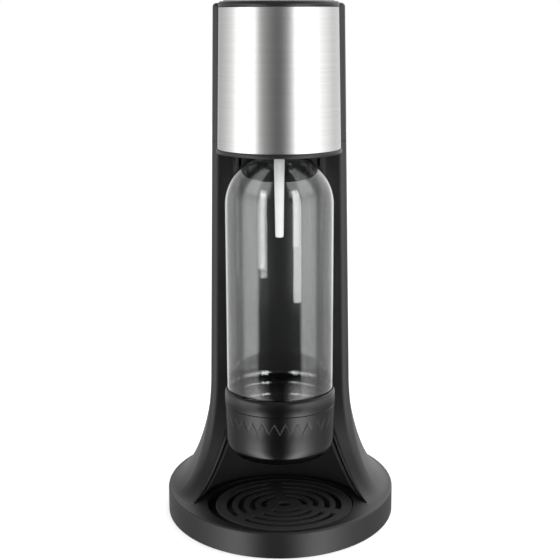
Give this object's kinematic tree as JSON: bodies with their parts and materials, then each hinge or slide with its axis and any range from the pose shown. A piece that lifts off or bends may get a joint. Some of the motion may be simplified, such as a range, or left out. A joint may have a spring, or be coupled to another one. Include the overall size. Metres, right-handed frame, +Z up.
{
  "type": "sparkling water maker",
  "caption": "Countertop carbonator: oval foot with drip tray, tall column, steel-wrapped drum with a press button, tilting bottle holder, bottle and rear gas cylinder.",
  "frame": {"origin": "centre of the foot, on the surface the machine stands on", "axes": "+Z up, the front with the bottle faces -Y, +X is to the right seen from the front"},
  "size_m": [0.192, 0.2334, 0.428],
  "materials": {
    "black_shell": "satin black, finely textured",
    "black_inner": "matt black",
    "black_cup": "glossy black",
    "brushed_steel": "brushed round the drum",
    "grey_button": "silver grey, satin",
    "grey_plastic": "plain moulded grey",
    "white_plastic": "white, smooth",
    "clear_plastic": "clear and glossy",
    "rubber": "matt black",
    "brass": "turned",
    "zinc_steel": "zinc plated",
    "painted_steel": "satin grey paint",
    "red_plastic": "plain red"
  },
  "bodies": {
    "machine": {"main_body": "black_shell", "recess_liner": "black_inner", "base_plate": "black_inner", "rubber_foot_1": "rubber", "rubber_foot_2": "rubber", "rubber_foot_3": "rubber", "rubber_foot_4": "rubber", "base_screw_1": "zinc_steel", "base_screw_2": "zinc_steel", "base_screw_3": "zinc_steel", "base_screw_4": "zinc_steel", "upper_housing": "black_shell", "steel_wrap": "brushed_steel", "drum_rim": "black_shell", "head_frame": "grey_plastic", "frame_screw_1": "zinc_steel", "frame_screw_2": "zinc_steel", "frame_screw_3": "zinc_steel", "frame_screw_4": "zinc_steel", "lever_pin": "zinc_steel", "gas_hose": "white_plastic", "trim_ring": "black_shell", "button_spring": "zinc_steel", "cylinder_pad": "rubber", "gas_cylinder": "painted_steel", "cylinder_valve": "brass", "valve_block": "brass", "relief_valve": "red_plastic", "block_screw_1": "zinc_steel", "block_screw_2": "zinc_steel"},
    "button": {"button_cap": "grey_button", "button_plunger": "grey_plastic"},
    "lever": {"valve_lever": "zinc_steel"},
    "pin": {"valve_pin": "zinc_steel"},
    "holder": {"bottle_holder": "grey_plastic", "bottle_gasket": "rubber", "nozzle": "white_plastic"},
    "bottle": {"bottle": "clear_plastic", "bottle_cup": "black_cup"},
    "tray": {"drip_tray": "black_inner"},
    "grille": {"drip_grille": "black_inner"},
    "cover": {"rear_cover": "black_shell"}
  },
  "joints": [
    {"name": "button_press", "type": "slide", "parent": "machine", "child": "button", "axis": [0, 0, -1], "range_m": [0, 0.0065], "stiffness_N_per_m": 700, "springref_m": -0.003, "deforming": ["button_spring"]},
    {"name": "lever_swing", "type": "hinge", "parent": "machine", "child": "lever", "pos_m": [0, 0.0685, 0.396], "axis": [1, 0, 0], "range_deg": [0, 4]},
    {"name": "valve_pin_push", "type": "slide", "parent": "machine", "child": "pin", "axis": [0, 0, -1], "range_m": [0, 0.0016]},
    {"name": "holder_tilt", "type": "hinge", "parent": "machine", "child": "holder", "pos_m": [0, -0.052, 0.338], "axis": [-1, 0, 0], "range_deg": [0, 14]},
    {"name": "bottle_drop", "type": "slide", "parent": "holder", "child": "bottle", "axis": [0, 0, 1], "range_m": [-0.044, 0]},
    {"name": "tray_lift", "type": "slide", "parent": "machine", "child": "tray", "axis": [0, -0.2756, 0.9613], "range_m": [0, 0.012]},
    {"name": "grille_lift", "type": "slide", "parent": "tray", "child": "grille", "axis": [0, -0.4695, 0.8829], "range_m": [0, 0.025]},
    {"name": "rear_cover_pull", "type": "slide", "parent": "machine", "child": "cover", "axis": [0, 1, 0], "range_m": [0, 0.06]}
  ],
  "couplings": [
    {"joint": "lever_swing", "follows": "button_press", "rad_per_m": 10.363},
    {"joint": "valve_pin_push", "follows": "button_press", "ratio": 0.2383}
  ]
}
